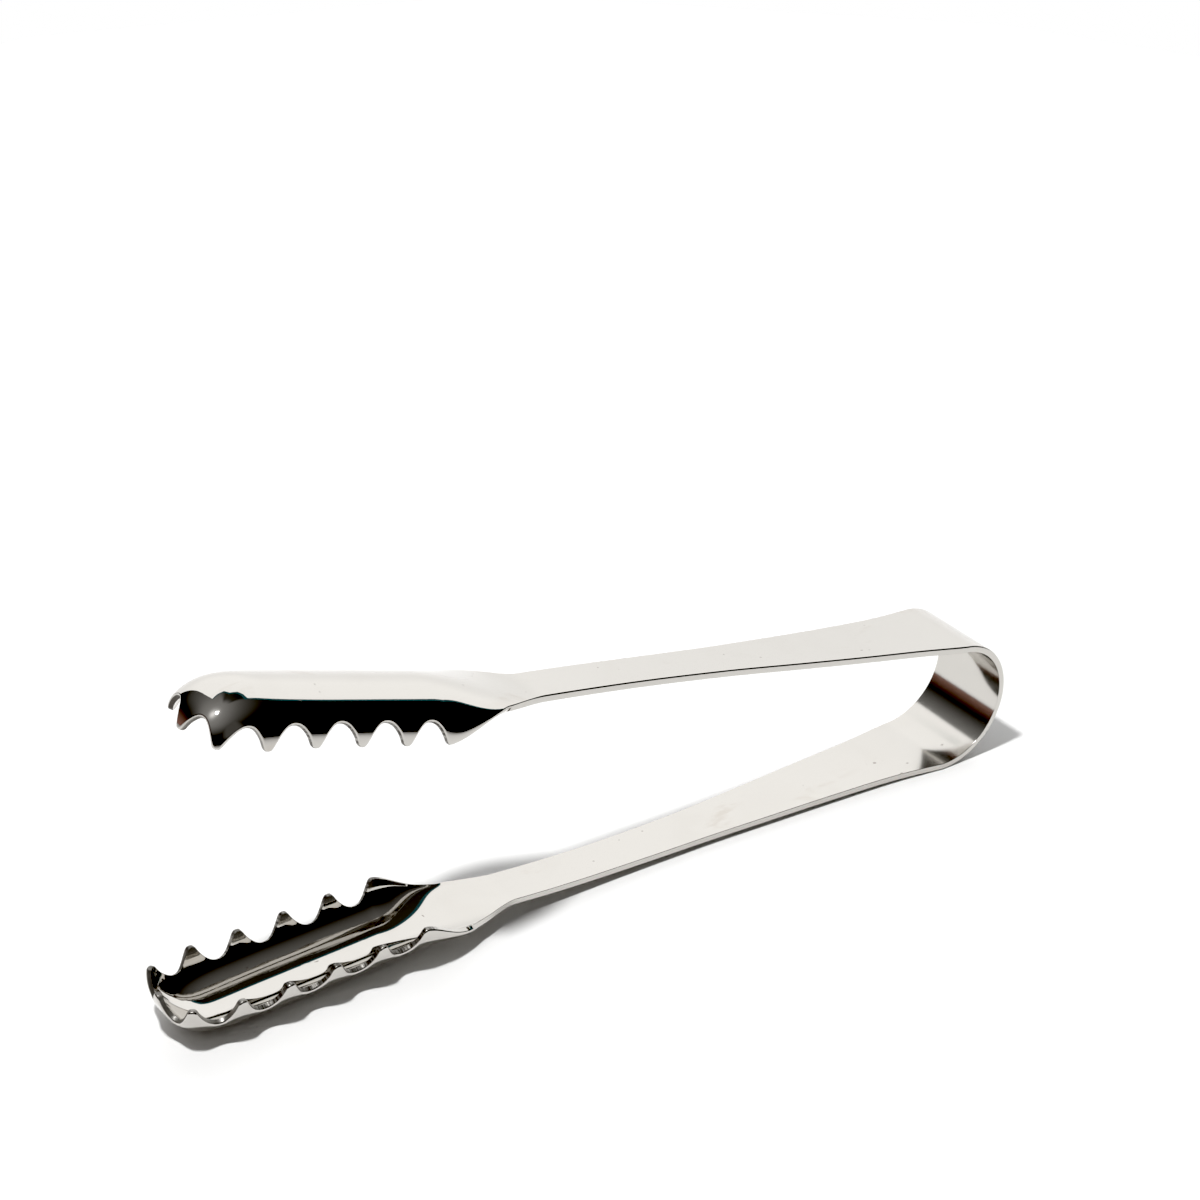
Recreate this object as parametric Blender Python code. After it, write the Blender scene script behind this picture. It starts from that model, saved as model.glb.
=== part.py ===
"""Ice tongs pressed from one strip of stainless steel.

The strip is described along its length: a claw, an arm, the spring bow, and the
second arm and claw.  Each claw is a round-ended scoop with a saw-cut rim of
thirteen teeth.  The tongs lie as they rest on a table: on the back of the lower
claw and the underside of the bow, +X towards the bow, +Z up, Y across the strip.
All lengths are in metres, all angles in degrees.
"""

import bpy
import bmesh
import numpy as np
from math import sin, cos, tan, pi, radians, atan2
from mathutils import Vector

# ---------------------------------------------------------------- dimensions
SHEET = 0.0013            # thickness of the strip
CLAW_SHEET = 0.0011       # thinned by pressing and grinding at the claws
GAP = 0.0003              # parting gap between neighbouring zones of the strip

BOW_RADIUS = 0.0134       # outer radius of the spring bow
BOW_WIDTH = 0.0172        # width of the strip round the bow

ARM_LENGTH = 0.0977       # from the bow's tangent line to the neck of the claw
ARM_WIDTHS = (            # share of the arm's length, width of the strip
    (0.00, 0.0172), (0.12, 0.01435), (0.25, 0.01270), (0.40, 0.01105),
    (0.60, 0.00920), (0.80, 0.00865), (1.00, 0.00870))
UPPER_START = 0.5         # slope of the upper arm where it leaves the bow
UPPER_BEND = (1.86, -3.42)    # its curvature at the start and the change along it, 1/m
LOWER_START = 5.3         # the same for the lower arm
LOWER_BEND = (2.16, -5.48)

CLAW_SPLAY = 9.5          # slope of the claw's back to the bow's middle plane
CLAW_STEP = 0.00135       # how far the claw's back stands out from the arm
NECK_LENGTH = 0.0245      # along which the back steps out
FLARE_LENGTH = 0.0194     # along which the strip widens to the scoop
WALL_LENGTH = 0.0227      # along which the scoop reaches its full depth
CLAW_HALF_WIDTH = 0.00925
CLAW_DEPTH = 0.0081       # from the back to the points of the teeth
FRONT_DEEPER = 0.00094    # extra depth at the round front
TOOTH_FIRST = 0.02135     # from the neck to the first tooth
TOOTH_PITCH = 0.00894
TOOTH_DEPTH = 0.00395
TOOTH_SCALLOP = 0.86      # share of the pitch that each round scallop takes, the rest is the blunt tip
TOOTH_ROUND = 0.85        # exponent of the scallop's outline
FRONT_LENGTH = 0.01746    # of the rounded front, along the claw
FRONT_SQUARE = 3.6        # exponent of the front's outline, 2 is an ellipse
FRONT_START = TOOTH_FIRST + 3.3 * TOOTH_PITCH
FRONT_FOOT = FRONT_START + 0.0055     # where the back ends and the front begins to close

CLOSE_ANGLE = 8.2         # how far each flexure turns until the teeth nearly meet

BOW_STEPS = 26
ARM_STEPS = 9
WALL_STEPS = 6
SCALLOP_STATIONS = (0.07, 0.105, 0.18, 0.33, 0.50, 0.67, 0.82, 0.895, 0.93, 1.0)
NECK_STEPS = 9


# ---------------------------------------------------------------- strip curve
def smooth_table(pairs):
    """Smooth monotone curve through a few width stations."""
    xs = np.array([p[0] for p in pairs])
    ys = np.array([p[1] for p in pairs])
    d = np.diff(ys) / np.diff(xs)
    m = np.zeros(len(xs))
    for i in range(1, len(xs) - 1):
        if d[i - 1] * d[i] > 0:
            m[i] = 2 * d[i - 1] * d[i] / (d[i - 1] + d[i])
    m[0], m[-1] = d[0], d[-1]

    def value(x):
        x = np.clip(np.asarray(x, float), xs[0], xs[-1])
        i = np.clip(np.searchsorted(xs, x, side='right') - 1, 0, len(xs) - 2)
        h = xs[i + 1] - xs[i]
        t = (x - xs[i]) / h
        return ((2 * t**3 - 3 * t**2 + 1) * ys[i] + (t**3 - 2 * t**2 + t) * h * m[i]
                + (3 * t**2 - 2 * t**3) * ys[i + 1] + (t**3 - t**2) * h * m[i + 1])
    return value


arm_width = smooth_table(ARM_WIDTHS)


class Side:
    """One arm and claw in the bow's middle frame: origin at the bow's centre,
    +x to the bow's apex, and z measured away from the middle plane."""

    def __init__(self, start, bend):
        self.start = radians(start)
        s = np.linspace(0, ARM_LENGTH, 2001)
        ang = self.start + bend[0] * s + bend[1] * s**2 / (2 * ARM_LENGTH)
        step = s[1]
        self.s, self.ang = s, ang
        self.x = BOW_RADIUS * sin(self.start) - np.concatenate(
            [[0], np.cumsum((np.cos(ang[1:]) + np.cos(ang[:-1])) / 2 * step)])
        self.z = BOW_RADIUS * cos(self.start) + np.concatenate(
            [[0], np.cumsum((np.sin(ang[1:]) + np.sin(ang[:-1])) / 2 * step)])
        c = radians(CLAW_SPLAY)
        self.along = np.array([-cos(c), sin(c)])
        self.inward = np.array([-sin(c), -cos(c)])
        self.root = np.array([self.x[-1], self.z[-1]])
        self.kink = tan(c - ang[-1])
        self.rim_outline()

    def arm(self, s):
        return (np.interp(s, self.s, self.x), np.interp(s, self.s, self.z),
                np.interp(s, self.s, self.ang))

    # claw coordinates: a along the back, y across, h inwards from the arm's line
    def back(self, a):
        q = np.clip(a / NECK_LENGTH, 0, 1)
        return (q**3 - 2 * q**2 + q) * self.kink * NECK_LENGTH - (3 * q**2 - 2 * q**3) * CLAW_STEP

    def half_width(self, a):
        q = np.clip(a / FLARE_LENGTH, 0, 1)**0.85
        return ARM_WIDTHS[-1][1] / 2 + (CLAW_HALF_WIDTH - ARM_WIDTHS[-1][1] / 2) * q * q * (3 - 2 * q)

    def depth(self, a):
        q = np.clip(a / WALL_LENGTH, 0, 1)**1.85
        f = np.clip((a - FRONT_START + 0.006) / (FRONT_LENGTH + 0.006), 0, 1)
        return CLAW_DEPTH * q * q * (3 - 2 * q) + FRONT_DEEPER * f * f * (3 - 2 * f) + 1e-9

    def rim_outline(self):
        n = 3000
        a1 = np.linspace(0, FRONT_START, n)
        t = np.linspace(0, pi / 2, n)[1:]
        e = 2 / FRONT_SQUARE
        a = np.concatenate([a1, FRONT_START + FRONT_LENGTH * np.sin(t)**e])
        y = np.concatenate([self.half_width(a1), CLAW_HALF_WIDTH * np.cos(t)**e])
        y[-1] = 0.0
        s = np.concatenate([[0], np.cumsum(np.hypot(np.diff(a), np.diff(y)))])
        self.rim_a, self.rim_y, self.rim_s = a, y, s
        first = np.interp(TOOTH_FIRST, a1, s[:n])
        points = [first + k * TOOTH_PITCH for k in range(5)]
        points += [points[-1] + 0.517 * (s[-1] - points[-1]), s[-1]]
        self.points = np.array(points)

    def cut(self, s):
        """Depth of the saw cut below the rim at rim distance s."""
        t = self.points
        i = np.clip(np.searchsorted(t, s, side='right') - 1, 0, len(t) - 2)
        q = np.clip((s - t[i]) / (t[i + 1] - t[i]), 0, 1)
        x = np.minimum(np.abs(2 * q - 1) / TOOTH_SCALLOP, 1)
        return np.where(s < t[0], 0, TOOTH_DEPTH * (1 - x * x)**TOOTH_ROUND)

    def shell(self, s, v):
        """Outer surface of the scoop: s along the rim, v from the back (0) to the rim (1)."""
        a = np.interp(s, self.rim_s, self.rim_a)
        y = np.interp(s, self.rim_s, self.rim_y)
        full = self.depth(a)
        t = v * np.arccos(np.clip(1 - (full - self.cut(s)) / full, 0, 1))
        foot = np.minimum(a, FRONT_FOOT)
        pa = foot + (a - foot) * np.sin(t)**(2 / 2.3)
        h = self.back(foot) + full * (1 - np.cos(t))
        return self.claw_point(pa, y * np.sin(t), h)

    def claw_point(self, a, y, h):
        x = self.root[0] + a * self.along[0] + h * self.inward[0]
        z = self.root[1] + a * self.along[1] + h * self.inward[1]
        return np.stack([x, y, z], -1)


upper = Side(UPPER_START, UPPER_BEND)
lower = Side(LOWER_START, LOWER_BEND)


# ---------------------------------------------------------------- resting frame
def resting_slope():
    """Slope of the table under the lower side: it touches the bow and a claw's back."""
    t = np.linspace(0, pi / 2, 400)
    s = np.linspace(0, ARM_LENGTH, 400)
    ax, az, _ = lower.arm(s)
    a = np.linspace(0, FRONT_FOOT, 400)
    c = lower.claw_point(a, 0 * a, lower.back(a))
    far = c[a > NECK_LENGTH * 0.9]
    bx = np.concatenate([BOW_RADIUS * np.sin(t), ax])
    bz = np.concatenate([BOW_RADIUS * np.cos(t), az])
    best = None
    for x, z in zip(far[:, 0], far[:, 2]):
        slope = np.min(np.arctan2(z - bz, bx - x))      # steepest line that clears the bow
        if best is None or slope > best:
            best = slope
    return best


SLOPE = resting_slope()


def to_table(p):
    """Middle frame to the resting frame, before the origin is shifted."""
    p = np.asarray(p, float)
    c, s = cos(SLOPE), sin(SLOPE)
    return np.stack([p[..., 0] * c + p[..., 2] * s, p[..., 1],
                     -p[..., 0] * s + p[..., 2] * c], -1)


def side_point(side, p):
    """Side coordinates to the middle frame: the lower side is upside down."""
    p = np.array(p, float)
    if side is lower:
        p[..., 2] *= -1
    return p


# ---------------------------------------------------------------- sheet zones
def bow_rows():
    t = np.linspace(pi - lower.start - 0.5 * GAP / BOW_RADIUS,
                    upper.start + 0.5 * GAP / BOW_RADIUS, BOW_STEPS + 1)
    half = np.full_like(t, BOW_WIDTH / 2)
    x, z = BOW_RADIUS * np.sin(t), BOW_RADIUS * np.cos(t)
    return np.stack([np.stack([x, 0 * x, z], -1), np.stack([x, half, z], -1)], 1)


def arm_rows(side):
    s = np.linspace(0.5 * GAP, ARM_LENGTH - 0.5 * GAP, ARM_STEPS + 1)
    x, z, _ = side.arm(s)
    half = arm_width(s / ARM_LENGTH) / 2
    rows = np.stack([np.stack([x, 0 * x, z], -1), np.stack([x, half, z], -1)], 1)
    return side_point(side, rows)


def claw_rows(side):
    s = [np.linspace(0.5 * GAP, side.points[0], NECK_STEPS + 1)]
    for p, q in zip(side.points[:-1], side.points[1:]):
        s.append(p + (q - p) * np.array(SCALLOP_STATIONS))
    s = np.concatenate(s)
    v = np.linspace(0, 1, WALL_STEPS + 1)
    ss, vv = np.meshgrid(s, v, indexing='ij')
    return side_point(side, side.shell(ss, vv))


def hinge_point(side):
    """Middle of the sheet's thickness on the tangent line between bow and arm."""
    r = BOW_RADIUS - SHEET / 2
    return side_point(side, np.array([r * sin(side.start), 0, r * cos(side.start)]))


zones = {
    "lower_claw": claw_rows(lower),
    "lower_arm": arm_rows(lower),
    "spring_bow": bow_rows(),
    "upper_arm": arm_rows(upper),
    "upper_claw": claw_rows(upper),
}

every = np.concatenate([to_table(r).reshape(-1, 3) for r in zones.values()])
SHIFT = np.array([-(every[:, 0].min() + every[:, 0].max()) / 2, 0, -every[:, 2].min()])


def place(p):
    return to_table(p) + SHIFT


# ---------------------------------------------------------------- objects
for ob in list(bpy.data.objects):
    bpy.data.objects.remove(ob, do_unlink=True)


def steel(name, colour, roughness):
    mat = bpy.data.materials.new(name)
    mat.use_nodes = True
    bsdf = mat.node_tree.nodes["Principled BSDF"]
    bsdf.inputs["Base Color"].default_value = (*colour, 1)
    bsdf.inputs["Metallic"].default_value = 1.0
    bsdf.inputs["Roughness"].default_value = roughness
    return mat


def sheet_object(name, rows, origin, thickness, colour, roughness):
    """Half of a zone's outer face, mirrored across the strip and given its thickness."""
    pts = place(rows) - origin
    bm = bmesh.new()
    grid = [[bm.verts.new(p) for p in row] for row in pts]
    for r0, r1 in zip(grid[:-1], grid[1:]):
        for i in range(len(r0) - 1):
            bm.faces.new((r0[i], r1[i], r1[i + 1], r0[i + 1]))
    bmesh.ops.remove_doubles(bm, verts=bm.verts, dist=1e-7)
    bmesh.ops.dissolve_degenerate(bm, edges=bm.edges, dist=1e-7)
    bm.normal_update()
    # the outer face looks away from the inside of the tongs
    middle = place(np.array([-0.05, 0.0, 0.0])) - origin
    away = sum((f.normal.dot(f.calc_center_median() - Vector(middle)) * f.calc_area()
                for f in bm.faces))
    if away < 0:
        bmesh.ops.reverse_faces(bm, faces=bm.faces)
    mesh = bpy.data.meshes.new(name)
    bm.to_mesh(mesh)
    bm.free()
    ob = bpy.data.objects.new(name, mesh)
    ob.location = origin
    bpy.context.collection.objects.link(ob)
    mirror = ob.modifiers.new("across", 'MIRROR')
    mirror.use_axis = (False, True, False)
    mirror.use_clip = True
    mirror.merge_threshold = 0.00001
    solid = ob.modifiers.new("sheet", 'SOLIDIFY')
    solid.thickness = thickness
    solid.offset = -1
    solid.use_even_offset = False
    solid.use_quality_normals = True
    mesh.shade_smooth()
    mesh.set_sharp_from_angle(angle=radians(35))
    mesh.materials.append(steel(name + "_steel", colour, roughness))
    return ob


def pivot(name, location, parent=None):
    empty = bpy.data.objects.new(name, None)
    empty.empty_display_size = 0.01
    bpy.context.collection.objects.link(empty)
    empty.location = location
    empty["closes_by_deg"] = CLOSE_ANGLE
    if parent is not None:
        empty.parent = parent
        empty.matrix_parent_inverse.identity()
        empty.location = Vector(location) - parent.location
    return empty


lower_axis = place(hinge_point(lower))
upper_axis = place(hinge_point(upper))
origins = {
    "lower_claw": place(side_point(lower, lower.claw_point(np.array(0.), np.array(0.), np.array(0.)))),
    "lower_arm": lower_axis,
    "spring_bow": lower_axis,
    "upper_arm": upper_axis,
    "upper_claw": upper_axis,
}
looks = {
    "lower_claw": (CLAW_SHEET, (0.80, 0.79, 0.77), 0.10),
    "lower_arm": (SHEET, (0.82, 0.81, 0.79), 0.12),
    "spring_bow": (SHEET, (0.80, 0.79, 0.78), 0.10),
    "upper_arm": (SHEET, (0.82, 0.81, 0.80), 0.12),
    "upper_claw": (CLAW_SHEET, (0.80, 0.79, 0.77), 0.10),
}
made = {name: sheet_object(name, rows, origins[name], *looks[name]) for name, rows in zones.items()}

lower_pivot = pivot("lower_pivot", lower_axis)
upper_pivot = pivot("upper_pivot", upper_axis, lower_pivot)
for name, parent in (("spring_bow", lower_pivot), ("upper_arm", upper_pivot), ("upper_claw", upper_pivot)):
    made[name].parent = parent
    made[name].location = (0, 0, 0)
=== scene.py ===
"""Looks of the ice tongs: the polished steel strip at full detail, on a pale studio floor."""

from math import sin, cos, tan, pi, radians, degrees

import bpy
import numpy as np
from mathutils import Matrix, Vector


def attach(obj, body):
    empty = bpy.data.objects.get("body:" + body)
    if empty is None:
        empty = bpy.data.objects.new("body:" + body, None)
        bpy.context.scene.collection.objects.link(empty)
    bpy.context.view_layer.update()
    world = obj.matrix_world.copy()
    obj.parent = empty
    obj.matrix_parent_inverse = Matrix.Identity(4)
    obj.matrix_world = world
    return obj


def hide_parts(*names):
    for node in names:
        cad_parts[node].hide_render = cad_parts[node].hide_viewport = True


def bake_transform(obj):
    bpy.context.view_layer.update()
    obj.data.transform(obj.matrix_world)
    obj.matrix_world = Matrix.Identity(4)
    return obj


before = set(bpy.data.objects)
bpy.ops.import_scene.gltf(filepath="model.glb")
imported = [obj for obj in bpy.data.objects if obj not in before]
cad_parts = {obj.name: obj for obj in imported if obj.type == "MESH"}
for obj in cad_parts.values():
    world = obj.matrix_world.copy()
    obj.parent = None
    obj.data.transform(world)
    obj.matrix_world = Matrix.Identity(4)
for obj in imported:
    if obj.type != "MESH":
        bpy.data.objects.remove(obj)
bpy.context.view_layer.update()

# ================================================================ dimensions
SHEET = 0.0013
CLAW_SHEET = 0.00105
BOW_RADIUS = 0.0134
BOW_WIDTH = 0.0172
ARM_LENGTH = 0.0977
ARM_WIDTHS = (
    (0.00, 0.0172), (0.12, 0.01435), (0.25, 0.01270), (0.40, 0.01105),
    (0.60, 0.00920), (0.80, 0.00865), (1.00, 0.00870))
UPPER_START, UPPER_BEND = 0.5, (1.86, -3.42)
LOWER_START, LOWER_BEND = 5.3, (2.16, -5.48)
CLAW_SPLAY = 9.5
CLAW_STEP = 0.00135
NECK_LENGTH = 0.0245
FLARE_LENGTH = 0.0194
WALL_LENGTH = 0.0227
CLAW_HALF_WIDTH = 0.00925
CLAW_DEPTH = 0.0081
FRONT_DEEPER = 0.00094
TOOTH_FIRST = 0.02135
TOOTH_PITCH = 0.00894
TOOTH_DEPTH = 0.00395
TOOTH_TIP = 0.00125           # width of the blunt points
SCALLOP = 2.3                 # exponent of the round cuts between them
FRONT_LENGTH = 0.01746
FRONT_SQUARE = 3.6
FRONT_START = TOOTH_FIRST + 3.3 * TOOTH_PITCH
FRONT_FOOT = FRONT_START + 0.0055

FLAT_ANGLE = radians(30)      # turn of the section's edge where the strip is still flat
CLAW_ROUND = 0.00042          # rounding of the claws' outer edge
CLAW_ROUND_IN = 0.00009       # and of their inner edge
ARM_ROUND = 0.00036           # the same for arms and bow
ARM_ROUND_IN = 0.00010

SECTIONS_PER_TOOTH = 44
NECK_SECTIONS = 44
ARM_SECTIONS = 64
BOW_SECTIONS = 128
ACROSS = 20                   # points from the middle to the edge, on each face
ROUND_STEPS = 5
FACE_STEPS = 4


# ================================================================ the strip
def smooth_table(pairs):
    xs = np.array([p[0] for p in pairs])
    ys = np.array([p[1] for p in pairs])
    d = np.diff(ys) / np.diff(xs)
    m = np.zeros(len(xs))
    for i in range(1, len(xs) - 1):
        if d[i - 1] * d[i] > 0:
            m[i] = 2 * d[i - 1] * d[i] / (d[i - 1] + d[i])
    m[0], m[-1] = d[0], d[-1]

    def value(x):
        x = np.clip(np.asarray(x, float), xs[0], xs[-1])
        i = np.clip(np.searchsorted(xs, x, side='right') - 1, 0, len(xs) - 2)
        h = xs[i + 1] - xs[i]
        t = (x - xs[i]) / h
        return ((2 * t**3 - 3 * t**2 + 1) * ys[i] + (t**3 - 2 * t**2 + t) * h * m[i]
                + (3 * t**2 - 2 * t**3) * ys[i + 1] + (t**3 - t**2) * h * m[i + 1])
    return value


arm_width = smooth_table(ARM_WIDTHS)


def step(x, lo, hi):
    q = np.clip((x - lo) / (hi - lo), 0, 1)
    return q * q * (3 - 2 * q)


class Side:
    """One arm and claw, in the bow's middle frame, z measured away from the middle plane."""

    def __init__(self, start, bend):
        self.start = radians(start)
        s = np.linspace(0, ARM_LENGTH, 2001)
        ang = self.start + bend[0] * s + bend[1] * s**2 / (2 * ARM_LENGTH)
        ds = s[1]
        self.s, self.ang = s, ang
        self.x = BOW_RADIUS * sin(self.start) - np.concatenate(
            [[0], np.cumsum((np.cos(ang[1:]) + np.cos(ang[:-1])) / 2 * ds)])
        self.z = BOW_RADIUS * cos(self.start) + np.concatenate(
            [[0], np.cumsum((np.sin(ang[1:]) + np.sin(ang[:-1])) / 2 * ds)])
        c = radians(CLAW_SPLAY)
        self.along = np.array([-cos(c), sin(c)])
        self.inward = np.array([-sin(c), -cos(c)])
        self.root = np.array([self.x[-1], self.z[-1]])
        self.kink = tan(c - ang[-1])
        n = 4000
        a1 = np.linspace(0, FRONT_START, n)
        t = np.linspace(0, pi / 2, n)[1:]
        e = 2 / FRONT_SQUARE
        a = np.concatenate([a1, FRONT_START + FRONT_LENGTH * np.sin(t)**e])
        y = np.concatenate([self.half_width(a1), CLAW_HALF_WIDTH * np.cos(t)**e])
        y[-1] = 0.0
        rs = np.concatenate([[0], np.cumsum(np.hypot(np.diff(a), np.diff(y)))])
        self.rim_a, self.rim_y, self.rim_s = a, y, rs
        first = np.interp(TOOTH_FIRST, a1, rs[:n])
        points = [first + k * TOOTH_PITCH for k in range(5)]
        points += [points[-1] + 0.517 * (rs[-1] - points[-1]), rs[-1]]
        self.points = np.array(points)
        self.cut_s = np.linspace(0, rs[-1] + 0.003, 12000)
        self.cut_h = self.inset_cut(self.cut_s, rs[-1])

    def back(self, a):
        q = np.clip(a / NECK_LENGTH, 0, 1)
        return (q**3 - 2 * q**2 + q) * self.kink * NECK_LENGTH - (3 * q**2 - 2 * q**3) * CLAW_STEP

    def half_width(self, a):
        q = np.clip(a / FLARE_LENGTH, 0, 1)**0.85
        return ARM_WIDTHS[-1][1] / 2 + (CLAW_HALF_WIDTH - ARM_WIDTHS[-1][1] / 2) * q * q * (3 - 2 * q)

    def depth(self, a):
        q = np.clip(a / WALL_LENGTH, 0, 1)**1.85
        f = np.clip((a - FRONT_START + 0.006) / (FRONT_LENGTH + 0.006), 0, 1)
        return CLAW_DEPTH * q * q * (3 - 2 * q) + FRONT_DEEPER * f * f * (3 - 2 * f) + 1e-9

    def true_cut(self, s, end):
        """Depth of the cuts below the rim, mirrored past the middle of the front."""
        s = np.where(s > end, 2 * end - s, s)
        t = self.points
        i = np.clip(np.searchsorted(t, s, side='right') - 1, 0, len(t) - 2)
        gap = t[i + 1] - t[i]
        u = np.minimum(np.abs(s - (t[i] + t[i + 1]) / 2) / ((gap - TOOTH_TIP) / 2), 1)
        return np.where(s < t[0], 0, TOOTH_DEPTH * (1 - u**SCALLOP))

    def inset_cut(self, s, end):
        """The cuts widened by the edge's rounding, so that the rounding fits inside the outline."""
        r = CLAW_ROUND
        deepest = np.zeros_like(s)
        for d in np.linspace(-r, r, 61):
            deepest = np.maximum(deepest, self.true_cut(s + d, end) + np.sqrt(r * r - min(d * d, r * r)) - r)
        ds = s[1] - s[0]
        k = np.arange(-120, 121) * ds
        g = np.exp(-0.5 * (k / 0.00011)**2)
        g /= g.sum()
        return np.convolve(np.pad(deepest, 120, mode='edge'), g, mode='valid')

    def cut(self, s):
        return np.interp(s, self.cut_s, self.cut_h)

    def full_angle(self, a):
        """Section angle at which the wall would be complete: small where the strip is still flat."""
        return FLAT_ANGLE + (pi / 2 - FLAT_ANGLE) * (1 - np.exp(-self.depth(a) / 0.00045))

    def section(self, s, t):
        """Outer surface at rim distance s and section parameter t (0 to 1), in the middle frame."""
        a = np.interp(s, self.rim_s, self.rim_a)
        y = np.interp(s, self.rim_s, self.rim_y)
        full = self.depth(a)
        te = self.full_angle(a)
        turned = te * t
        u = np.sin(turned) / np.sin(te)
        foot = np.minimum(a, FRONT_FOOT)
        pa = foot + (a - foot) * np.maximum(u, 0)**(2 / 2.3)
        h = self.back(foot) + full * (1 - np.cos(turned)) / (1 - np.cos(te))
        x = self.root[0] + pa * self.along[0] + h * self.inward[0]
        z = self.root[1] + pa * self.along[1] + h * self.inward[1]
        return np.stack([x, y * u, z], -1)

    def rim_parameter(self, s):
        a = np.interp(s, self.rim_s, self.rim_a)
        te = self.full_angle(a)
        share = 1 - np.minimum(self.cut(s) / self.depth(a), 0.95)
        turned = np.arccos(np.clip(1 - share * (1 - np.cos(te)), 0, 1))
        return turned / te

    def rows(self, s):
        """Outer surface from the middle to where the edge rounding starts, and its normals."""
        end = self.rim_parameter(s)
        d = 1e-5
        rate = np.linalg.norm(self.section(s, end) - self.section(s, end - d), axis=-1) / d
        claw = step(s, 0.004, 0.018)
        radius = ARM_ROUND + (CLAW_ROUND - ARM_ROUND) * claw
        end = end - radius / rate
        fine = end[:, None] * np.linspace(0, 1, 161)[None, :]
        q = self.section(s[:, None] + 0 * fine, fine)
        run = np.concatenate([np.zeros((len(s), 1)),
                              np.cumsum(np.linalg.norm(np.diff(q, axis=1), axis=-1), axis=1)], 1)
        v = np.linspace(0, 1, ACROSS + 1)
        t = np.stack([np.interp(v * run[i, -1], run[i], fine[i]) for i in range(len(s))])
        ss = s[:, None] + 0 * t
        return self.section(ss, t), claw, self.surface_normals(ss, t)

    def surface_normals(self, ss, t):
        """Normals of the outer surface, faired along the rim where the front closes."""
        end = self.rim_s[-1]
        count, levels, e = 700, 97, 4e-4
        gs, gt = np.meshgrid(np.linspace(0, end, count), np.linspace(0, 1, levels), indexing='ij')
        dt = self.section(gs, gt + e) - self.section(gs, np.maximum(gt - e, 0))
        ds = self.section(np.minimum(gs + 3e-5, end), gt) - self.section(np.maximum(gs - 3e-5, 0), gt)
        n = unit(np.cross(dt, ds))
        pole = -np.array([self.inward[0], 0, self.inward[1]])
        n[np.interp(gs[:, 0], self.rim_s, self.rim_a) >= FRONT_FOOT - 1e-5, 0] = pole
        if np.sum(n[:, 5] * pole) < 0:
            n = np.where(np.abs(np.sum(n * pole, -1, keepdims=True)) > 0.9999999, pole, -n)
        both = np.concatenate([n, n[::-1][1:] * np.array([1, -1, 1])])
        gap = end / (count - 1)
        start = np.interp(FRONT_START - 0.004, self.rim_a[:4000], self.rim_s[:4000])
        sigma = 1e-6 + 0.0016 * step(gs[:, 0], start, start + 0.006)
        total = np.zeros_like(n)
        for k in range(-55, 56):
            i = np.clip(np.arange(count) + k, 0, len(both) - 1)
            total += np.exp(-0.5 * (k * gap / sigma)**2)[:, None, None] * both[i]
        n = unit(total)
        i = np.clip(ss / gap, 0, count - 1.001)
        j = np.clip(t * (levels - 1), 0, levels - 1.001)
        i0, j0 = i.astype(int), j.astype(int)
        fi, fj = (i - i0)[..., None], (j - j0)[..., None]
        return unit((n[i0, j0] * (1 - fj) + n[i0, j0 + 1] * fj) * (1 - fi)
                    + (n[i0 + 1, j0] * (1 - fj) + n[i0 + 1, j0 + 1] * fj) * fi)

    def arm_rows(self, s):
        x, z = np.interp(s, self.s, self.x), np.interp(s, self.s, self.z)
        return flat_rows(x, z, arm_width(s / ARM_LENGTH) / 2)


def flat_rows(x, z, half):
    v = np.linspace(0, 1, ACROSS + 1)
    y = (half - ARM_ROUND)[:, None] * v[None, :]
    p = np.stack([x[:, None] + 0 * y, y, z[:, None] + 0 * y], -1)
    return p, np.zeros(len(x))


def unit(v):
    return v / np.maximum(np.linalg.norm(v, axis=-1, keepdims=True), 1e-20)


upper = Side(UPPER_START, UPPER_BEND)
lower = Side(LOWER_START, LOWER_BEND)


def resting_slope():
    t = np.linspace(0, pi / 2, 400)
    s = np.linspace(0, ARM_LENGTH, 400)
    ax, az = np.interp(s, lower.s, lower.x), np.interp(s, lower.s, lower.z)
    a = np.linspace(0, FRONT_FOOT, 400)
    h = lower.back(a)
    cx = lower.root[0] + a * lower.along[0] + h * lower.inward[0]
    cz = lower.root[1] + a * lower.along[1] + h * lower.inward[1]
    far = a > NECK_LENGTH * 0.9
    bx = np.concatenate([BOW_RADIUS * np.sin(t), ax])
    bz = np.concatenate([BOW_RADIUS * np.cos(t), az])
    return max(np.min(np.arctan2(z - bz, bx - x)) for x, z in zip(cx[far], cz[far]))


SLOPE = resting_slope()


def turn(p):
    c, s = cos(SLOPE), sin(SLOPE)
    return np.stack([p[..., 0] * c + p[..., 2] * s, p[..., 1],
                     -p[..., 0] * s + p[..., 2] * c], -1)


def claw_stations(side):
    """Rim distances of the sections, from the neck to the middle of the front."""
    s = [np.linspace(0, side.points[0], NECK_SECTIONS + 1)]
    for p, q in zip(side.points[:-1], side.points[1:]):
        fine = np.linspace(p, q, 900)
        run = np.concatenate([[0], np.cumsum(np.hypot(np.diff(fine), np.diff(side.cut(fine))))])
        count = max(12, int(round(SECTIONS_PER_TOOTH * (q - p) / TOOTH_PITCH)))
        s.append(np.interp(np.linspace(0, run[-1], count + 1)[1:], run, fine))
    return np.concatenate(s)


# The whole strip as one run of sections, lower front -> bow -> upper front.
flip = np.array([1, 1, -1])
low_s, up_s = claw_stations(lower), claw_stations(upper)
arm_s = np.linspace(0, ARM_LENGTH, ARM_SECTIONS + 1)
bow_t = np.linspace(pi - lower.start, upper.start, BOW_SECTIONS + 1)

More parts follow.
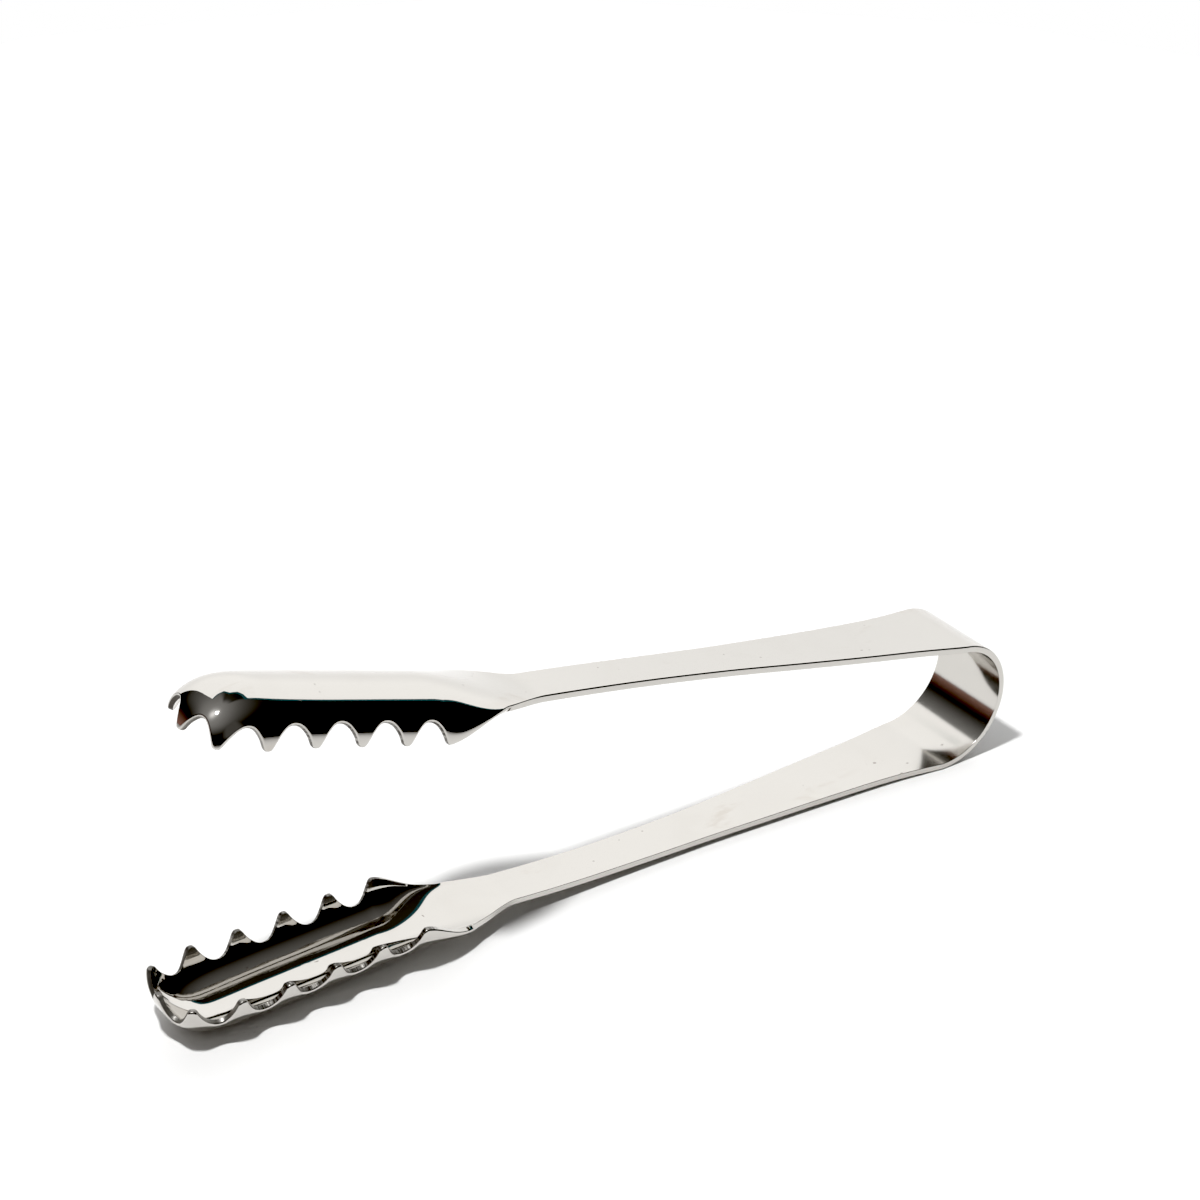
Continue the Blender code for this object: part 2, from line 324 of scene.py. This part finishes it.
blocks = []
p, r, low_n = lower.rows(low_s[::-1])
blocks.append((p * flip, r))
p, r = lower.arm_rows(arm_s[::-1][1:])
blocks.append((p * flip, r))
blocks.append(tuple(q[1:] for q in flat_rows(BOW_RADIUS * np.sin(bow_t), BOW_RADIUS * np.cos(bow_t),
                                             np.full(len(bow_t), BOW_WIDTH / 2))))
blocks.append(upper.arm_rows(arm_s[1:]))
p, r, up_n = upper.rows(up_s)
blocks.append((p[1:], r[1:]))

outer = np.concatenate([b[0] for b in blocks])
claw = np.concatenate([b[1] for b in blocks])
radius = ARM_ROUND + (CLAW_ROUND - ARM_ROUND) * claw
radius_in = ARM_ROUND_IN + (CLAW_ROUND_IN - ARM_ROUND_IN) * claw
thick = SHEET + (CLAW_SHEET - SHEET) * claw
N_CLAW, N_ARM, N_BOW = len(low_s), ARM_SECTIONS, BOW_SECTIONS
A_, B_ = N_CLAW - 1, N_CLAW - 1 + N_ARM + N_BOW + N_ARM
outer[0, :, 1] = 0.0
outer[-1, :, 1] = 0.0
outer[:, 0, 1] = 0.0


# normals of the outer face, by differences with mirrored neighbours at the edges of the half strip
mirror = np.array([1, -1, 1])
ext = np.concatenate([outer[1:2] * mirror, outer, outer[-2:-1] * mirror])
d_i = ext[2:] - ext[:-2]
left = outer[:, 1:2] * mirror
right = 3 * outer[:, -1:] - 3 * outer[:, -2:-1] + outer[:, -3:-2]
ext = np.concatenate([left, outer, right], 1)
d_j = ext[:, 2:] - ext[:, :-2]
normal = unit(np.cross(d_j, d_i))
# on the claws they come from the surface itself
exact = unit(np.concatenate([low_n * flip, np.zeros((len(outer) - N_CLAW, ACROSS + 1, 3))]))
exact[-(N_CLAW - 1):] = unit(up_n[1:])
exact *= np.sign(np.sum(exact * normal, -1))[..., None]
known = np.sum(exact * exact, -1) > 0.5
known[[0, -1]] = False
normal = np.where(known[..., None], exact, normal)


def fan_rows(side, s):
    return np.interp(s, side.rim_s, side.rim_a) > FRONT_FOOT


fan_low = np.concatenate([fan_rows(lower, low_s[::-1]), np.zeros(len(outer) - N_CLAW, bool)])
fan_up = np.concatenate([np.zeros(len(outer) - N_CLAW, bool), fan_rows(upper, up_s)])
for fan, side, sign in ((fan_low, lower, -1), (fan_up, upper, 1)):
    pole = np.array([-side.inward[0], 0, -side.inward[1] * sign])
    normal[fan, 0] = pole
    # close to the pole the rays crowd together: ease the normals towards the pole's own
    for j in (1, 2):
        k = j / 3
        normal[fan, j] = unit(normal[fan, j] * k + (pole * (1 - k) + normal[fan, 3] * k) * (1 - k))
normal[:, 0, 1] = 0
normal[0, :, 1] = 0
normal[-1, :, 1] = 0
normal = unit(normal)

# the inner face follows a smoother set of normals where a lip is bent tighter than the sheet is thick
span = np.linalg.norm(outer[:, 1] - outer[:, 0], axis=-1)
wide = np.concatenate([(normal * mirror)[:, 7:0:-1], normal, np.repeat(normal[:, -1:], 7, 1)], 1)
weights = np.exp(-0.5 * (np.arange(-7, 8)[None, :] * span[:, None] / 0.00030)**2)
soft = sum(weights[:, k, None, None] * wide[:, k:k + ACROSS + 1] for k in range(15))
soft = unit(soft)
depth_at = np.concatenate([
    lower.depth(np.interp(low_s[::-1], lower.rim_s, lower.rim_a)),
    np.zeros(N_ARM + N_BOW + N_ARM),
    upper.depth(np.interp(up_s[1:], upper.rim_s, upper.rim_a))])
part_soft = (1 - step(depth_at, 0.0030, 0.0065))[:, None, None]
part_soft[A_:B_] = 0
inward = unit(normal * (1 - part_soft) + soft * part_soft)
inward[:, 0, 1] = 0

# direction out of the edge: square to the face's normal and to the run of the edge
edge = outer[:, -1]
ext = np.concatenate([edge[1:2] * mirror, edge, edge[-2:-1] * mirror])
run = unit(ext[2:] - ext[:-2])
n_end = normal[:, -1]
out = unit(np.cross(run, n_end))
out *= np.sign(np.sum(out * (outer[:, -1] - outer[:, -2]), -1))[:, None]
out[0, 1] = 0
out[-1, 1] = 0
out = unit(out)

cols, nors = [outer], [normal]
centre = edge - radius[:, None] * n_end
for k in range(1, ROUND_STEPS + 1):
    f = pi / 2 * k / ROUND_STEPS
    d = cos(f) * n_end + sin(f) * out
    cols.append((centre + radius[:, None] * d)[:, None])
    nors.append(d[:, None])
n_in = inward[:, -1]
out_in = unit(out - np.sum(out * n_in, -1, keepdims=True) * n_in)
inner_centre = (edge - (thick - radius_in)[:, None] * n_in
                + (radius - radius_in)[:, None] * out_in)
for k in range(1, FACE_STEPS):
    q = k / FACE_STEPS
    cols.append(((centre + radius[:, None] * out) * (1 - q)
                 + (inner_centre + radius_in[:, None] * out_in) * q)[:, None])
    nors.append(unit(out * (1 - q) + out_in * q)[:, None])
for k in range(0, ROUND_STEPS + 1):
    f = pi / 2 * k / ROUND_STEPS
    d = cos(f) * out_in - sin(f) * n_in
    cols.append((inner_centre + radius_in[:, None] * d)[:, None])
    nors.append(d[:, None])
cols.append((outer - thick[:, None, None] * inward)[:, ::-1])
nors.append(-inward[:, ::-1])
grid = np.concatenate(cols, 1)
gnor = np.concatenate(nors, 1)
grid[:, 0, 1] = 0
grid[:, -1, 1] = 0
grid[0, :, 1] = 0
grid[-1, :, 1] = 0
COLS = grid.shape[1]

grid_w = turn(grid)
gnor_w = turn(gnor)
# the origin is the one of the CAD model: middle of the length, on the table
SHIFT = np.array([-(grid_w[..., 0].min() + grid_w[..., 0].max()) / 2, 0, -grid_w[..., 2].min()])
grid_w = grid_w + SHIFT
# along the strip, across it and through it, for the grain of the finish
length_at = np.concatenate([[0], np.cumsum(np.linalg.norm(np.diff(outer[:, 0], axis=0), axis=-1))])


# ================================================================ meshes
def strip_piece(name, i0, i1, cap0, cap1, closed_front=False):
    """A closed piece from section i0 to section i1, mirrored across the strip."""
    g, n = grid_w[i0:i1 + 1], gnor_w[i0:i1 + 1]
    rows = len(g)
    idx = np.arange(rows * COLS).reshape(rows, COLS)
    pos = np.concatenate([g.reshape(-1, 3), (g * mirror).reshape(-1, 3)])
    nor = np.concatenate([n.reshape(-1, 3), (n * mirror).reshape(-1, 3)])
    key = np.round(pos * 2e8).astype(np.int64)
    _, first, back = np.unique(key, axis=0, return_index=True, return_inverse=True)
    back = back.reshape(-1)
    other = idx + rows * COLS
    faces, fnor = [], []

    def add(f, custom=None):
        f = [int(back[q]) for q in f]
        g2 = [q for m, q in enumerate(f) if q != f[m - 1]]
        if len(set(g2)) < 3:
            return
        faces.append(g2)
        fnor.append(custom)

    for i in range(rows - 1):
        for j in range(COLS - 1):
            add((idx[i, j], idx[i, j + 1], idx[i + 1, j + 1], idx[i + 1, j]))
            add((other[i, j], other[i + 1, j], other[i + 1, j + 1], other[i, j + 1]))
    last = COLS - 1
    for i, cap, sign in ((0, cap0, -1), (rows - 1, cap1, 1)):
        if not cap:
            continue
        run_dir = (g[1, 0] - g[0, 0]) if i == 0 else (g[-1, 0] - g[-2, 0])
        face_n = unit(run_dir) * sign
        for table, m in ((idx, 1), (other, -1)):
            polys = [(table[i, j], table[i, last - j], table[i, last - j - 1], table[i, j + 1])
                     for j in range(ACROSS)]
            polys.append(tuple(table[i, j] for j in range(last - ACROSS, ACROSS - 1, -1)))
            for f in polys:
                add(f if m * sign < 0 else f[::-1], face_n)
    mesh = bpy.data.meshes.new(name)
    verts = pos[first]
    mesh.from_pydata([tuple(q) for q in verts], [], faces)
    mesh.update()
    vn = unit(nor[first])
    loops = np.zeros((len(mesh.loops), 3))
    at = 0
    for f, c in zip(faces, fnor):
        for q in f:
            loops[at] = vn[q] if c is None else c
            at += 1
    mesh.polygons.foreach_set("use_smooth", np.ones(len(faces), bool))
    # position in the strip, for the grain of the finish
    along = np.repeat(length_at[i0:i1 + 1], COLS)
    edge_cols = COLS - 2 * ACROSS - 2
    through = np.tile(np.concatenate([np.zeros(ACROSS + 1), np.linspace(0, 1, edge_cols),
                                      np.ones(ACROSS + 1)]) * SHEET, rows)
    sawn = np.zeros((rows, COLS))
    sawn[:, ACROSS + ROUND_STEPS - 1:COLS - ACROSS - 2] = SAWN[i0:i1 + 1, None]
    across = np.tile(np.concatenate([np.linspace(0, 1, ACROSS + 1), np.ones(COLS - 2 * ACROSS - 2),
                                     np.linspace(1, 0, ACROSS + 1)]), rows) * 0.009
    sheet = np.stack([np.concatenate([along, along]), np.concatenate([across, -across]),
                      np.concatenate([through, through])], -1)[first]
    at = mesh.attributes.new("sheet", 'FLOAT_VECTOR', 'POINT')
    at.data.foreach_set("vector", sheet.astype(np.float32).ravel())
    at = mesh.attributes.new("sawn", 'FLOAT', 'POINT')
    at.data.foreach_set("value", np.concatenate([sawn.ravel(), sawn.ravel()])[first].astype(np.float32))
    mesh.validate(clean_customdata=False)
    mesh.normals_split_custom_set([tuple(q) for q in loops])
    ob = bpy.data.objects.new(name, mesh)
    bpy.context.collection.objects.link(ob)
    return ob


A = N_CLAW - 1                    # lower neck
B = A + N_ARM                     # lower arm meets the bow
C = B + N_BOW // 2                # apex
D = B + N_BOW                     # bow meets the upper arm
E = D + N_ARM                     # upper neck
F = len(grid) - 1
# where the edge is sawn: from just before the first tooth to the front
SAWN = np.concatenate([step(low_s[::-1], lower.points[0] - 0.0022, lower.points[0] - 0.0004),
                       np.zeros(N_ARM + N_BOW + N_ARM),
                       step(up_s[1:], upper.points[0] - 0.0022, upper.points[0] - 0.0004)])

pieces = {
    "lower_claw_steel": strip_piece("lower_claw_steel", 0, A, False, True),
    "lower_arm_steel": strip_piece("lower_arm_steel", A, B, True, True),
    "bow_lower_half": strip_piece("bow_lower_half", B, C, True, True),
    "bow_upper_half": strip_piece("bow_upper_half", C, D, True, True),
    "upper_arm_steel": strip_piece("upper_arm_steel", D, E, True, True),
    "upper_claw_steel": strip_piece("upper_claw_steel", E, F, True, False),
}


# ================================================================ materials
class Nodes:
    """Short-hand for building a node tree."""

    def __init__(self, tree):
        self.tree = tree

    def new(self, kind, **settings):
        n = self.tree.nodes.new(kind)
        for k, v in settings.items():
            setattr(n, k, v)
        return n

    def link(self, a, b):
        self.tree.links.new(a, b)

    def put(self, socket, value):
        if isinstance(value, bpy.types.NodeSocket):
            self.link(value, socket)
        else:
            socket.default_value = value

    def math(self, op, a, b=0.0, c=0.0, clamp=False):
        n = self.new('ShaderNodeMath', operation=op, use_clamp=clamp)
        self.put(n.inputs[0], a)
        self.put(n.inputs[1], b)
        self.put(n.inputs[2], c)
        return n.outputs[0]

    def range(self, v, lo, hi, to_lo=0.0, to_hi=1.0, smooth=True):
        n = self.new('ShaderNodeMapRange', interpolation_type='SMOOTHSTEP' if smooth else 'LINEAR')
        self.put(n.inputs['Value'], v)
        self.put(n.inputs['From Min'], lo)
        self.put(n.inputs['From Max'], hi)
        self.put(n.inputs['To Min'], to_lo)
        self.put(n.inputs['To Max'], to_hi)
        return n.outputs['Result']

    def mix(self, f, a, b):
        n = self.new('ShaderNodeMix', data_type='RGBA')
        self.put(n.inputs[0], f)
        self.put(n.inputs[6], a)
        self.put(n.inputs[7], b)
        return n.outputs[2]

    def noise(self, vec, scale, detail=2.0, rough=0.5, distortion=0.0):
        n = self.new('ShaderNodeTexNoise')
        self.link(vec, n.inputs['Vector'])
        n.inputs['Scale'].default_value = scale
        n.inputs['Detail'].default_value = detail
        n.inputs['Roughness'].default_value = rough
        n.inputs['Distortion'].default_value = distortion
        return n.outputs['Fac']

    def scaled(self, vec, scale, rotation=(0, 0, 0)):
        n = self.new('ShaderNodeMapping')
        self.link(vec, n.inputs['Vector'])
        n.inputs['Scale'].default_value = scale
        n.inputs['Rotation'].default_value = rotation
        return n.outputs['Vector']


def rgb(r, g, b):
    return (r, g, b, 1.0)


def strip_steel(name):
    """Polished stainless steel with hair scratches and wiping marks, dull and scored where it is sawn."""
    mat = bpy.data.materials.new(name)
    mat.use_nodes = True
    t = Nodes(mat.node_tree)
    bsdf = mat.node_tree.nodes["Principled BSDF"]
    place = t.new('ShaderNodeAttribute', attribute_name="sheet").outputs['Vector']
    sawn = t.new('ShaderNodeAttribute', attribute_name="sawn").outputs['Fac']
    coord = t.new('ShaderNodeTexCoord').outputs['Object']
    split = t.new('ShaderNodeSeparateXYZ')
    t.link(place, split.inputs[0])
    along, across, through = split.outputs

    # finish: the claws are brightest, the bow was only brushed over after bending
    at_bow = t.math('MULTIPLY', t.range(along, LOW_BOW - 0.030, LOW_BOW),
                    t.range(along, UP_BOW + 0.030, UP_BOW))
    smudge = t.range(t.noise(coord, 85.0, 3.0, 0.55, 0.6), 0.46, 0.74)
    film = t.range(t.noise(coord, 23.0, 2.0, 0.5), 0.42, 0.70)
    specks = t.range(t.noise(coord, 900.0, 0.0), 0.845, 0.88)
    lengthwise = t.noise(t.scaled(place, (70.0, 5200.0, 900.0)), 1.0, 2.0, 0.6)
    slanted = t.noise(t.scaled(place, (170.0, 6100.0, 900.0), (0, 0, 0.5)), 1.0, 1.0, 0.5)
    hair = t.range(lengthwise, 0.66, 0.80)
    hair2 = t.range(slanted, 0.74, 0.84)
    rough = t.math('ADD', 0.030, t.math('MULTIPLY', smudge, 0.022))
    rough = t.math('ADD', rough, t.math('MULTIPLY', film, 0.015))
    rough = t.math('ADD', rough, t.math('MULTIPLY', hair, 0.03))
    rough = t.math('ADD', rough, t.math('MULTIPLY', at_bow, 0.085))
    rough = t.math('ADD', rough, t.math('MULTIPLY', specks, 0.15))
    base = t.mix(t.math('MULTIPLY', smudge, 0.35), rgb(0.590, 0.573, 0.545), rgb(0.560, 0.540, 0.510))
    stain = t.range(t.noise(t.scaled(coord, (1.0, 2.2, 1.0)), 58.0, 4.0, 0.6, 0.5), 0.60, 0.78)
    base = t.mix(t.math('MULTIPLY', stain, 0.40), base, rgb(0.47, 0.42, 0.37))
    base = t.mix(t.math('MULTIPLY', specks, 0.45), base, rgb(0.25, 0.22, 0.20))

    # sawn faces: scored through the thickness, chipped here and there
    score = t.noise(t.scaled(place, (3300.0, 200.0, 260.0)), 1.0, 2.0, 0.6)
    chip = t.noise(coord, 3600.0, 2.0, 0.7)
    cut_rough = t.range(chip, 0.3, 0.7, 0.28, 0.52)
    cut_base = t.mix(t.range(score, 0.40, 0.68), rgb(0.085, 0.08, 0.074), rgb(0.40, 0.39, 0.37))
    mix_rough = t.math('ADD', t.math('MULTIPLY', rough, t.math('SUBTRACT', 1.0, sawn)),
                       t.math('MULTIPLY', cut_rough, sawn))
    t.put(bsdf.inputs['Roughness'], mix_rough)
    t.put(bsdf.inputs['Base Color'], t.mix(sawn, base, cut_base))
    bsdf.inputs['Metallic'].default_value = 1.0
    bsdf.inputs['Coat Weight'].default_value = 0.07
    bsdf.inputs['Coat Roughness'].default_value = 0.24

    height = t.math('ADD', t.math('MULTIPLY', hair, -0.5), t.math('MULTIPLY', hair2, -0.35))
    bump = t.new('ShaderNodeBump')
    bump.inputs['Strength'].default_value = 0.10
    bump.inputs['Distance'].default_value = 0.000012
    t.link(height, bump.inputs['Height'])
    bump2 = t.new('ShaderNodeBump')
    bump2.inputs['Strength'].default_value = 0.30
    bump2.inputs['Distance'].default_value = 0.00003
    t.link(t.noise(coord, 60.0, 1.0, 0.4), bump2.inputs['Height'])
    t.link(bump.outputs['Normal'], bump2.inputs['Normal'])
    bump3 = t.new('ShaderNodeBump')
    t.put(bump3.inputs['Strength'], t.math('MULTIPLY', sawn, 0.60))
    bump3.inputs['Distance'].default_value = 0.00010
    t.link(t.math('ADD', t.math('MULTIPLY', score, 0.8), t.math('MULTIPLY', chip, 0.5)), bump3.inputs['Height'])
    t.link(bump2.outputs['Normal'], bump3.inputs['Normal'])
    t.link(bump3.outputs['Normal'], bsdf.inputs['Normal'])
    return mat


LOW_BOW, UP_BOW = float(length_at[B]), float(length_at[D])
steel = strip_steel("polished_steel")
for ob in pieces.values():
    ob.data.materials.append(steel)

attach(pieces["lower_claw_steel"], "lower_arm")
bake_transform(pieces["lower_arm_steel"])
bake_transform(pieces["bow_lower_half"])
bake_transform(pieces["bow_upper_half"])
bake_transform(pieces["upper_arm_steel"])
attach(pieces["upper_claw_steel"], "upper_arm")
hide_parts("lower_claw")
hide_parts("lower_arm")
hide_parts("spring_bow")
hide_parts("spring_bow")
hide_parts("upper_arm")
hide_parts("upper_claw")

# ================================================================ studio
def floor(name, outline):
    mesh = bpy.data.meshes.new(name)
    mesh.from_pydata([(x, y, 0.0) for x, y in outline], [], [tuple(range(len(outline)))])
    ob = bpy.data.objects.new(name, mesh)
    bpy.context.collection.objects.link(ob)
    return ob


# upright glowing screen behind the table: x, y and height along its plan
PLAN = [(-0.140, 0.390, 0.63), (-0.020, 0.430, 0.64), (0.120, 0.470, 0.70), (0.280, 0.440, 0.95),
        (0.420, 0.330, 0.88), (0.520, 0.170, 0.89), (0.550, 0.000, 0.87)]
RIM = [(x * 1.015, y * 1.015, h + up) for (x, y, h), up in
       zip(PLAN, (0.045, 0.05, 0.075, 0.14, 0.13, 0.13, 0.13))] + [(0.560, -0.045, 1.0)]
table = floor("table", [(-6, -6), (6, -6), (6, -0.05), (0.575, -0.05)]
              + [(x * 0.997, y * 0.997) for x, y, h in PLAN[::-1]] + [(-0.16, 0.41), (-6, 3.6)])
white = bpy.data.materials.new("table_white")
white.use_nodes = True
wt = Nodes(white.node_tree)
wb = white.node_tree.nodes["Principled BSDF"]
wc = wt.new('ShaderNodeTexCoord').outputs['Object']
wt.put(wb.inputs['Base Color'], wt.mix(wt.noise(wc, 9.0, 2.0), rgb(0.868, 0.868, 0.868), rgb(0.880, 0.880, 0.880)))
wb.inputs['Roughness'].default_value = 0.9
wb.inputs['Specular IOR Level'].default_value = 0.0
table.data.materials.append(white)


def screen(name, plan, colour, low, high):
    """Glowing screen seen by the steel and not by the camera, brighter towards the top."""
    mesh = bpy.data.meshes.new(name)
    n = len(plan)
    mesh.from_pydata([(x, y, 0.0) for x, y, h in plan] + [(x, y, h) for x, y, h in plan], [],
                     [(k, k + 1, n + k + 1, n + k) for k in range(n - 1)])
    ob = bpy.data.objects.new(name, mesh)
    bpy.context.collection.objects.link(ob)
    mat = bpy.data.materials.new(name)
    mat.use_nodes = True
    mat.node_tree.nodes.clear()
    m = Nodes(mat.node_tree)
    height = m.new('ShaderNodeSeparateXYZ')
    m.link(m.new('ShaderNodeTexCoord').outputs['Object'], height.inputs[0])
    glow = m.new('ShaderNodeEmission')
    glow.inputs['Color'].default_value = colour
    m.put(glow.inputs['Strength'], m.range(height.outputs[2], 0.10, 0.34, low, high))
    m.link(glow.outputs[0], m.new('ShaderNodeOutputMaterial').inputs['Surface'])
    mesh.materials.append(mat)
    ob.visible_camera = False
    ob.visible_shadow = False
    return ob


screen("back_screen", PLAN, rgb(1.0, 0.998, 0.992), 1.22, 1.42)
screen("screen_rim", RIM, rgb(0.34, 0.86, 1.0), 0.135, 0.135)

world = bpy.data.worlds.new("studio")
bpy.context.scene.world = world
world.use_nodes = True
tree = world.node_tree
tree.nodes.clear()
w = Nodes(tree)
direction = w.new('ShaderNodeTexCoord').outputs['Generated']
split = w.new('ShaderNodeSeparateXYZ')
w.link(direction, split.inputs[0])
X, Y, Z = split.outputs
el = w.math('MULTIPLY', w.math('ARCSINE', Z), 180 / pi)
az = w.math('MULTIPLY', w.math('ARCTAN2', X, Y), 180 / pi)      # 0 = +Y, 90 = +X
brown = w.math('MULTIPLY', w.math('MULTIPLY', w.range(az, -84.0, -72.0), w.range(az, -30.0, -36.0)),
               w.math('MULTIPLY', w.range(el, -14.0, -11.0), w.range(el, 22.0, -5.0)))
# soft glow of the ceiling round the lamp, and a dim patch low down in front
lamp = w.new('ShaderNodeVectorMath', operation='DOT_PRODUCT')
w.link(direction, lamp.inputs[0])
lamp.inputs[1].default_value = (-0.3892, 0.0341, 0.9205)
near = w.math('MAXIMUM', lamp.outputs['Value'], 0.0)
shade = w.math('MULTIPLY', w.math('MULTIPLY', w.range(az, 10.0, 30.0), w.range(az, 98.0, 84.0)), w.range(el, 84.0, 70.0))
ceiling = w.math('MULTIPLY', w.math('MULTIPLY', w.math('POWER', near, 2.0), w.range(el, 10.0, 50.0)),
                 w.math('SUBTRACT', 0.37, w.math('MULTIPLY', shade, 0.27)))
halo = w.math('MULTIPLY', w.math('POWER', near, 90.0), 0.85)
side = w.math('MULTIPLY', w.math('MAXIMUM', w.range(az, 150.0, 168.0), w.range(az, -150.0, -172.0)),
              w.range(el, 3.0, 20.0, 0.0, 0.115))
grey = w.math('MAXIMUM', w.math('ADD', w.math('MAXIMUM', ceiling, side), halo), 0.004)
wall = w.new('ShaderNodeCombineColor')
for k in range(3):
    w.link(grey, wall.inputs[k])
room = w.mix(brown, wall.outputs[0], rgb(0.30, 0.175, 0.150))

studio = w.new('ShaderNodeBackground')
w.link(room, studio.inputs['Color'])
studio.inputs['Strength'].default_value = 1.0
plain = w.new('ShaderNodeBackground')
plain.inputs['Color'].default_value = rgb(1.0, 1.0, 1.0)
ray = w.new('ShaderNodeLightPath')
blend_bg = w.new('ShaderNodeMixShader')
w.link(ray.outputs['Is Camera Ray'], blend_bg.inputs[0])
w.link(studio.outputs[0], blend_bg.inputs[1])
w.link(plain.outputs[0], blend_bg.inputs[2])
out_node = w.new('ShaderNodeOutputWorld')
w.link(blend_bg.outputs[0], out_node.inputs['Surface'])

KEY = 2.75
key = bpy.data.lights.new("key", 'AREA')
key.shape = 'DISK'
key.size = 0.06
key.energy = 3.2
key.use_nodes = True
kt = Nodes(key.node_tree)
fall = kt.new('ShaderNodeLightFalloff')
fall.inputs['Strength'].default_value = KEY
kt.link(fall.outputs['Constant'], key.node_tree.nodes['Emission'].inputs['Strength'])
key.color = (1.0, 0.998, 0.992)
key_ob = bpy.data.objects.new("key", key)
key_ob.location = (-0.22, -0.042, 0.62)
key_ob.rotation_mode = 'QUATERNION'
key_ob.rotation_quaternion = (Vector((0.0, 0.0, 0.0)) - key_ob.location).to_track_quat('-Z', 'Y')
bpy.context.collection.objects.link(key_ob)

# ================================================================ camera
def middle_to_world(v, point=False):
    q = turn(np.array(v, float))
    return q + SHIFT if point else q


a_, e_, r_ = radians(41.373), radians(24.0898), radians(10.3015)
fwd = np.array([cos(e_) * sin(a_), cos(e_) * cos(a_), -sin(e_)])
rt = np.array([cos(a_), -sin(a_), 0.0])
up = np.cross(rt, fwd)
rt2 = cos(r_) * rt + sin(r_) * up
up2 = -sin(r_) * rt + cos(r_) * up
eye = np.array([-0.0855753, 0.0, 0.0317159]) - fwd * 0.474808
eye_w = middle_to_world(eye, True)
fwd_w, rt_w, up_w = middle_to_world(fwd), middle_to_world(rt2), middle_to_world(up2)
cam = bpy.data.cameras.new("camera")
cam.lens = 84.0
cam.sensor_width = 36.0
cam.clip_start, cam.clip_end = 0.01, 50.0
cam_ob = bpy.data.objects.new("camera", cam)
m = Matrix([[rt_w[k], up_w[k], -fwd_w[k], eye_w[k]] for k in range(3)] + [[0, 0, 0, 1]])
cam_ob.matrix_world = m
bpy.context.collection.objects.link(cam_ob)
bpy.context.scene.camera = cam_ob

scene = bpy.context.scene
scene.view_settings.view_transform = 'Standard'
scene.view_settings.look = 'None'
scene.view_settings.exposure = 0.0
scene.view_settings.gamma = 1.0
scene.view_settings.use_curve_mapping = True
curve = scene.view_settings.curve_mapping
curve.black_level = (0.024, 0.026, 0.029)
curve.update()
